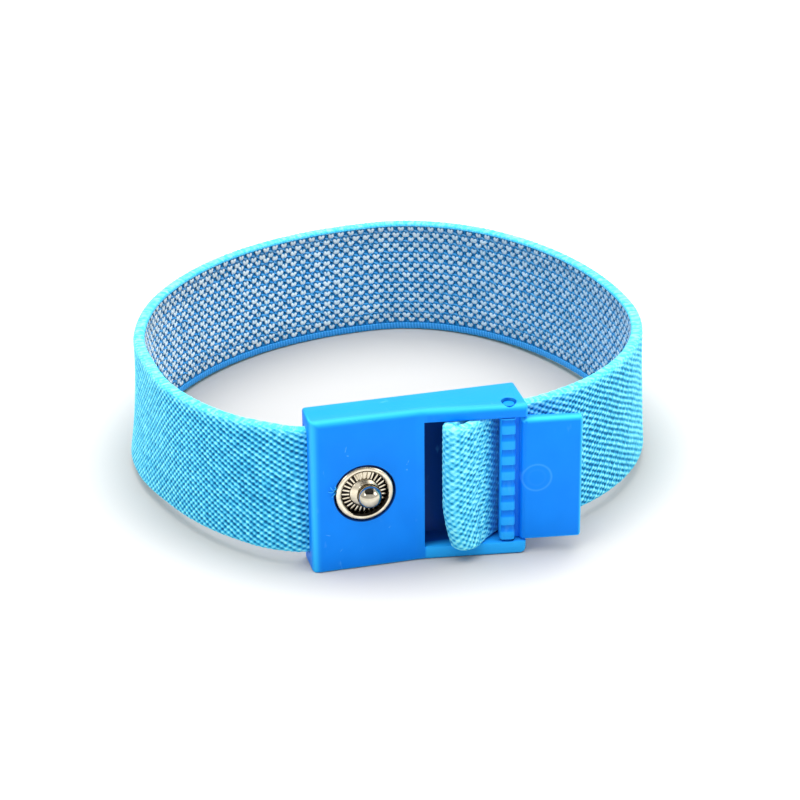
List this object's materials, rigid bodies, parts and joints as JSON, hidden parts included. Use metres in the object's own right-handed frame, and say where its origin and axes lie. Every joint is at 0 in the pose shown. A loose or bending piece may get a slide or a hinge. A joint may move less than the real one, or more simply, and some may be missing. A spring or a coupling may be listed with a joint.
{
  "type": "esd wrist strap",
  "caption": "Elastic anti-static wrist strap with a conductive lining, a moulded buckle with a hinged cam lever, and a snap stud for a grounding cord.",
  "frame": {"origin": "middle of the outer box, on the surface that the strap stands on", "axes": "+X along the buckle from the band's fixed end to the lever, -Y out of the face with the stud, +Z across the band"},
  "size_m": [0.079, 0.0822, 0.0244],
  "materials": {
    "buckle_plastic": "satin moulded, bright blue",
    "lever_plastic": "satin moulded, bright blue",
    "band_fabric": "elastic knit, light blue",
    "lining_fabric": "silver-plated yarn on blue",
    "stud_metal": "nickel plated, polished",
    "collar_metal": "nickel plated, pressed",
    "cap_metal": "nickel plated, polished",
    "plate_metal": "brushed"
  },
  "bodies": {
    "strap": {"buckle_body": "buckle_plastic", "elastic_band": "band_fabric", "conductive_lining": "lining_fabric", "snap_stud": "stud_metal", "fluted_collar": "collar_metal", "post_cap": "cap_metal", "skin_plate": "plate_metal"},
    "lever": {"cam_lever": "lever_plastic"}
  },
  "joints": [
    {"name": "lever_hinge", "type": "hinge", "parent": "strap", "child": "lever", "pos_m": [0.00895, -0.03815, 0.0122], "axis": [0, 0, -1], "range_deg": [0, 95]}
  ]
}
